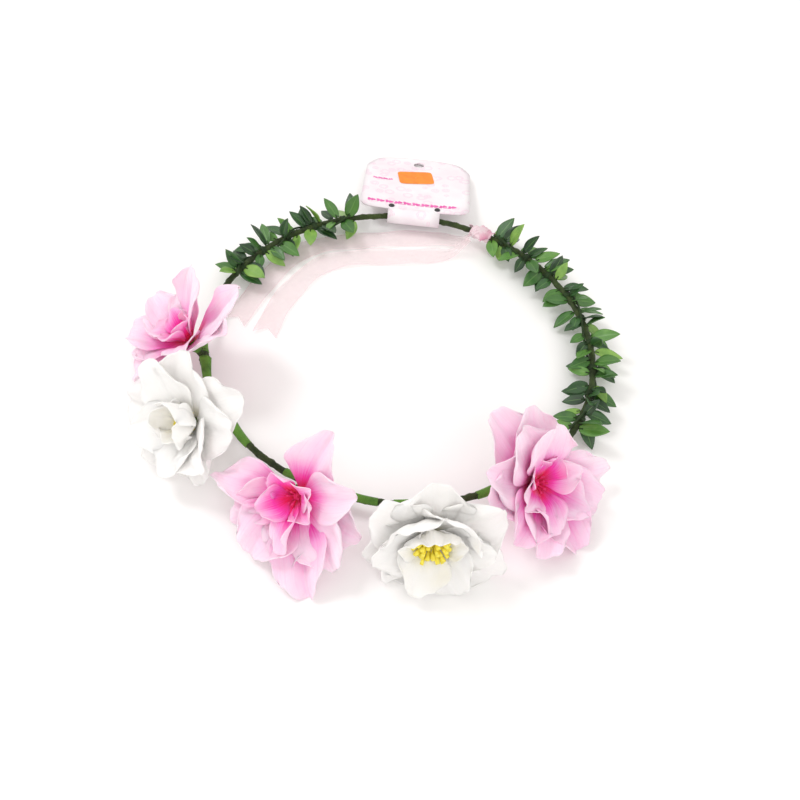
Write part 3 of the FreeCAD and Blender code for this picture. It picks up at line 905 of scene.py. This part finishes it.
# Middle line of each tail: x, y, height and share of the full width.
TAIL_BACK = [
    (-5.5, 88.0, 6.5, 0.3), (-9.0, 88.2, 4.0, 0.5), (-13.0, 88.0, 0.8, 0.7), (-23.0, 84.5, 0.3, 0.95),
    (-40.0, 73.5, 0.3, 1.0), (-60.0, 57.5, 0.3, 1.0), (-74.0, 44.0, 0.3, 1.0), (-80.5, 30.0, 0.3, 1.0),
    (-82.0, 12.0, 0.3, 1.0), (-80.5, -8.0, 0.3, 1.0), (-78.5, -27.0, 0.3, 1.0),
]
TAIL_FRONT = [
    (-4.5, 84.6, 8.0, 0.3), (-7.0, 81.5, 5.0, 0.4), (-11.0, 77.5, 0.8, 0.6), (-19.0, 70.5, 0.4, 0.9),
    (-34.0, 59.5, 0.4, 1.0), (-50.0, 48.5, 0.4, 1.0), (-61.0, 37.5, 0.4, 1.0), (-66.0, 25.0, 0.4, 1.0),
    (-67.0, 8.0, 0.4, 1.0), (-65.5, -8.0, 0.4, 1.0), (-61.0, -26.0, 0.4, 1.0),
]


def curve_at(points, share):
    """A smooth curve through points at equal steps (Catmull-Rom), each point a tuple of numbers."""
    place = share * (len(points) - 1)
    k = min(int(place), len(points) - 2)
    t = place - k
    a = points[max(k - 1, 0)]
    b = points[k]
    c = points[k + 1]
    d = points[min(k + 2, len(points) - 1)]
    made = []
    for p, q, r, s in zip(a, b, c, d):
        made.append(0.5 * (2 * q + (r - p) * t + (2 * p - 5 * q + 4 * r - s) * t * t
                           + (3 * q - p - 3 * r + s) * t ** 3))
    return made


def make_tail(name, path, ripple, seed):
    """A loose end of ribbon: bunched at the knot, rippled where it lies flat, notched at its end."""
    shape = Shape()
    rows = []
    uvs = []
    wide = TAIL_STEPS_WIDE
    length = 0.0
    last = None
    for j in range(TAIL_STEPS + 1):
        share = j / TAIL_STEPS
        x, y, z, width = curve_at(path, share)
        ahead = curve_at(path, min(1.0, share + 0.004))
        behind = curve_at(path, max(0.0, share - 0.004))
        travel = Vector((ahead[0] - behind[0], ahead[1] - behind[1], 0)).normalized()
        side = Vector((-travel.y, travel.x, 0))
        here = Vector((x, y, z))
        if last is not None:
            length += (here - last).length
        last = here
        row = []
        for i in range(wide + 1):
            u = i / wide * 2 - 1
            lay = u * width * RIBBON_WIDTH / 2
            lift = ripple * (0.5 + 0.5 * math.sin(length * 0.21 + u * 1.7 + seed))
            lift += (1 - width) * 1.1 * (1 + math.cos(3 * math.pi * u))
            lift += 0.25 * (1 + noise.noise(Vector((length * 0.13, u * 1.5, seed))))
            notch = NOTCH_DEPTH * (1 - abs(u)) * smooth(0.95, 1.0, share)
            row.append(here + side * lay + Vector((0, 0, lift)) - travel * notch)
        rows.append(row)
        uvs.append([(i / wide, length / RIBBON_WIDTH) for i in range(wide + 1)])
    shape.grid(rows, uvs, 0.5)
    made = shape.make(name + "_organza", ORGANZA, "hoop", [name])


def make_knot():
    """The ribbon wound three times round the taped wire and tied in a small flat knot."""
    shape = Shape()
    rows = []
    uvs = []
    steps = 110
    wide = 10
    for j in range(steps + 1):
        share = j / steps
        turn = 2 * math.pi * KNOT_TURNS * share + 0.6
        middle = KNOT_DEG + mix(-3.2, 3.4, share)
        row = []
        for i in range(wide + 1):
            u = i / wide * 2 - 1
            deg = middle + u * 1.4
            crease = 0.20 * math.sin(5 * u + 2 * share * 9) + 0.14 * math.sin(11 * u + turn)
            size = 2.9 + 0.45 * math.sin(math.pi * share) + crease * 1.3
            row.append(hoop_point(deg) + round_hoop(deg, turn) * size)
        rows.append(row)
        uvs.append([(i / wide, share * 6) for i in range(wide + 1)])
    shape.grid(rows, uvs, 0.75)
    middle = hoop_point(KNOT_DEG, -1.0, 1.2)
    for lump in range(3):
        rows = []
        uvs = []
        lean = math.radians((-35, 20, 70)[lump])
        long_way = unit(KNOT_DEG + 90) * math.cos(lean) - unit(KNOT_DEG) * math.sin(lean)
        long_way.normalize()
        flat_way = UP.cross(long_way)
        for j in range(25):
            share = j / 24
            along = mix(-5.6, 4.2, share)
            arch = 2.5 * math.sin(math.pi * share) ** 0.7
            row = []
            for i in range(9):
                u = i / 8 * 2 - 1
                pinch = 1.7 + 1.8 * abs(2 * share - 1)
                pleat = 0.35 * math.cos(3 * math.pi * u)
                rise = Vector((0, 0, arch + pleat))
                row.append(middle + long_way * along + flat_way * (u * pinch) + rise)
            rows.append(row)
            uvs.append([(i / 8, share * 2) for i in range(9)])
        shape.grid(rows, uvs, 0.9)
    shape.make("ribbon_knot_folds", KNOT, "hoop", ["ribbon_knot"], KNOT_THICKNESS)


# ------------------------------------------------------------------ swing tag


TAG_DEG = 114.5
CARD_WIDTH = 60.0
CARD_LENGTH = 64.0
CARD_THICKNESS = 0.8
CARD_START = 0.0
CARD_CORNER = 6.0
CARD_DROP_DEG = 10.7
LOOP_RADIUS = 3.5
LOOP_WIDTH = 28.0
HANG_HOLE_RADIUS = 3.0
HANG_HOLE_FROM_TOP = 8.0
PIN_SPACING = 25.0
PIN_FROM_START = 2.5
CARD_CURL = 0.9
CARD_RINGS = 8
CARD_POINTS = 120
PRINT_GAP = 0.06
STICKER_LENGTH = 20.0
STICKER_WIDTH = 15.0
STICKER_TURN_DEG = 10.0
STICKER_FROM_START = 39.0


def tag_point(x, y, z=0.0):
    """x runs along the hoop, y out along the card and z out of its printed face."""
    drop = math.radians(CARD_DROP_DEG)
    out = unit(TAG_DEG) * math.cos(drop) - Vector((0, 0, math.sin(drop)))
    across = unit(TAG_DEG - 90)
    return hoop_point(TAG_DEG) + across * x + out * y + across.cross(out) * z


def card_curl(x):
    """How far the card's face rises towards its long edges."""
    return CARD_CURL * (x / CARD_WIDTH * 2) ** 2


def card_outline():
    """Points round the card, from the lower left corner, against the clock."""
    low = CARD_START
    high = CARD_START + CARD_LENGTH
    half = CARD_WIDTH / 2
    outline = []
    for corner, start in ((-half + CARD_CORNER, 180), (half - CARD_CORNER, 270)):
        for k in range(9):
            turn = math.radians(start + 90 * k / 8)
            x = corner + CARD_CORNER * math.cos(turn)
            outline.append((x, low + CARD_CORNER * (1 + math.sin(turn))))
    crown = [(half, high - 15.0), (half * 0.72, high - 3.5), (0.0, high), (-half * 0.72, high - 3.5),
             (-half, high - 15.0)]
    for k in range(41):
        outline.append(tuple(curve_at(crown, k / 40)))
    return outline


def make_card():
    """A card with a round hang hole, folded into a strap that wraps the wire."""
    hole_y = CARD_START + CARD_LENGTH - HANG_HOLE_FROM_TOP
    outline = card_outline()
    card = Shape()
    rows = []
    uvs = []
    border = []
    total = len(outline)
    for i in range(CARD_POINTS):
        turn = 2 * math.pi * i / CARD_POINTS
        way = (math.cos(turn), math.sin(turn))
        reach = 0.0
        for k in range(total):
            (ax, ay), (bx, by) = outline[k], outline[(k + 1) % total]
            ay, by = ay - hole_y, by - hole_y
            dx, dy = bx - ax, by - ay
            cross = way[0] * dy - way[1] * dx
            if abs(cross) < 1e-9:
                continue
            t = (ax * dy - ay * dx) / cross
            s = (ax * way[1] - ay * way[0]) / cross
            if t > 0 and -1e-9 <= s <= 1 + 1e-9:
                reach = max(reach, t)
        border.append((way, reach))
    for side, level in ((1, LOOP_RADIUS + CARD_THICKNESS), (-1, LOOP_RADIUS)):
        for k in range(CARD_RINGS + 1):
            row = []
            uv_row = []
            share = k / CARD_RINGS if side > 0 else 1 - k / CARD_RINGS
            for way, reach in border:
                size = mix(HANG_HOLE_RADIUS, reach, share)
                x = way[0] * size
                y = hole_y + way[1] * size
                row.append(tag_point(x, y, level + card_curl(x)))
                uv_row.append((x / CARD_WIDTH + 0.5, y / CARD_LENGTH))
            rows.append(row)
            uvs.append(uv_row)
    rows.append(rows[0])
    uvs.append(uvs[0])
    card.grid(rows, uvs, 0.5, True)

    strap_path = []
    for k in range(7):
        strap_path.append((mix(CARD_START + 8, 0.0, k / 6), -LOOP_RADIUS - CARD_THICKNESS / 2))
    for k in range(1, 19):
        turn = math.radians(-90 - 180 * k / 18)
        middle = LOOP_RADIUS + CARD_THICKNESS / 2
        strap_path.append((middle * math.cos(turn), middle * math.sin(turn)))
    for k in range(1, 5):
        strap_path.append((mix(0.0, CARD_START + 1, k / 4), LOOP_RADIUS + CARD_THICKNESS / 2))
    rows = []
    uvs = []
    for k, (y, z) in enumerate(strap_path):
        rows.append([tag_point(x, y, z) for x in (-LOOP_WIDTH / 2, -7, 0, 7, LOOP_WIDTH / 2)])
        uvs.append([(0.2 + 0.15 * i, k * 0.02) for i in range(5)])
    strap = Shape()
    strap.grid(rows, uvs, 0.5)
    rows = []
    uvs = []
    for z in (-LOOP_RADIUS, 0.0, LOOP_RADIUS):
        rows.append([tag_point(x, CARD_START + 7, z) for x in (-LOOP_WIDTH / 2, 0, LOOP_WIDTH / 2)])
        uvs.append([(0.3 * i, z * 0.02) for i in range(3)])
    strap.grid(rows, uvs, 0.5)
    card.make("tag_card_board", CARD, "tag", ["tag_card"])
    strap.make("tag_card_strap", CARD, "tag", (), CARD_THICKNESS * 0.9, 0.0)


def flat_patch(shape, centre, points, level):
    """A small flat printed shape on the card's face: a fan of quads around its centre."""
    rows = []
    uvs = []
    for share in (0.02, 0.5, 1.0):
        row = []
        for px, py in points:
            x = centre[0] + px * share
            y = centre[1] + py * share
            row.append(tag_point(x, y, level + card_curl(x)))
        rows.append(row)
        uvs.append([(x, y) for x, y in points])
    shape.grid(rows, uvs, 0.5, True)


def make_prints():
    """Two rows of plain flourishes, a blank sticker and two push pins."""
    level = LOOP_RADIUS + CARD_THICKNESS + PRINT_GAP
    print_shape = Shape()
    rng = random.Random(5)
    rows = [(CARD_START + 7.0, -24.0, 23.0, 3.4), (CARD_START + 34.0, -24.0, -14.0, 2.0)]
    for y, first, last, size in rows:
        x = first
        while x < last:
            loop = []
            turn_by = rng.uniform(-0.5, 0.5)
            for k in range(28):
                turn = 2 * math.pi * k / 28
                bulge = size * (0.55 + 0.28 * math.cos(2 * turn + turn_by) + 0.12 * math.cos(5 * turn))
                loop.append((bulge * math.cos(turn) * 0.8, bulge * math.sin(turn)))
            flat_patch(print_shape, (x, y), loop, level)
            if rng.random() < 0.7:
                bar = [(-size * 0.6, -0.22), (size * 0.6, -0.22), (size * 0.6, 0.22), (-size * 0.6, 0.22)]
                flat_patch(print_shape, (x + size * 0.7, y - size * 0.45), bar, level)
            x += size * 1.45
    print_shape.make("tag_flourishes", INK, "tag")

    sticker = Shape()
    spin = math.radians(STICKER_TURN_DEG)
    half_long = STICKER_LENGTH / 2
    half_wide = STICKER_WIDTH / 2
    corners = []
    for k in range(24):
        turn = 2 * math.pi * (k + 0.5) / 24
        x = math.copysign(abs(math.cos(turn)) ** 0.25, math.cos(turn)) * half_long
        y = math.copysign(abs(math.sin(turn)) ** 0.25, math.sin(turn)) * half_wide
        corners.append((x * math.cos(spin) - y * math.sin(spin), x * math.sin(spin) + y * math.cos(spin)))
    flat_patch(sticker, (-1.0, CARD_START + STICKER_FROM_START), corners, level + 0.1)
    sticker.make("price_sticker_label", LABEL, "tag", ["price_sticker"])

    pins = Shape()
    for side in (-1, 1):
        for low, high, size in ((0.0, 1.0, 1.6), (-2.2, 0.0, 0.5)):
            rise = []
            for k in range(7):
                z = level + mix(low, high, k / 6)
                rise.append(tag_point(side * PIN_SPACING / 2, CARD_START + PIN_FROM_START, z))
            tube(pins, rise, lambda s, size=size: size * math.sqrt(1 - 0.8 * s ** 4), 20, 0.5)
    pins.make("tag_pin_heads", PIN, "tag", ["tag_pins"])


make_tail("ribbon_tail_back", TAIL_BACK, 0.9, 2.0)
make_tail("ribbon_tail_front", TAIL_FRONT, 1.1, 5.0)
make_knot()
make_card()
make_prints()


# ------------------------------------------------------------------ table and light


FLOOR_HALF = 12.0
FLOOR_STEPS = 12
WORLD_COLOUR = (1.0, 0.975, 0.95, 1.0)
WORLD_STRENGTH = 0.88


def make_floor():
    look = Look("table")
    mottle = look.noise(6.0, 2.0, 0.5)
    colour = look.ramp(mottle, [(0.0, (0.96, 0.955, 0.95)), (1.0, (0.975, 0.97, 0.965))])
    look.set(Base_Color=colour, Roughness=0.8, Specular_IOR_Level=0.1)
    size = FLOOR_HALF
    steps = FLOOR_STEPS
    points = []
    faces = []
    for j in range(steps + 1):
        for i in range(steps + 1):
            points.append((mix(-size, size, i / steps), mix(-size, size, j / steps), 0.0))
    for j in range(steps):
        for i in range(steps):
            a = j * (steps + 1) + i
            faces.append((a, a + 1, a + steps + 2, a + steps + 1))
    mesh = bpy.data.meshes.new("table")
    mesh.from_pydata(points, [], faces)
    mesh.materials.append(look.material)
    floor = bpy.data.objects.new("table", mesh)
    bpy.context.scene.collection.objects.link(floor)


def make_light(name, azimuth, elevation, distance, size, power, colour=(1, 1, 1)):
    """A disk light in metres and watts, aimed at the middle of the table."""
    data = bpy.data.lights.new(name, "AREA")
    data.shape = "DISK"
    data.size = size
    data.energy = power
    data.color = colour
    lamp = bpy.data.objects.new(name, data)
    flat = math.cos(math.radians(elevation)) * distance
    place = unit(azimuth) * flat + Vector((0, 0, math.sin(math.radians(elevation)) * distance))
    lamp.matrix_world = Matrix.Translation(place) @ place.to_track_quat("Z", "Y").to_matrix().to_4x4()
    bpy.context.scene.collection.objects.link(lamp)


def make_world():
    world = bpy.data.worlds.new("studio")
    bpy.context.scene.world = world
    world.use_nodes = True
    background = world.node_tree.nodes["Background"]
    background.inputs["Color"].default_value = WORLD_COLOUR
    background.inputs["Strength"].default_value = WORLD_STRENGTH


make_floor()
make_light("key", 188.0, 56.0, 1.5, 0.45, 5.5, (0.985, 0.99, 1.0))
make_light("fill", -50.0, 42.0, 1.6, 1.2, 5.5)
make_world()
view = bpy.context.scene.view_settings
view.view_transform = "Standard"
view.look = "None"
view.exposure = 0.0
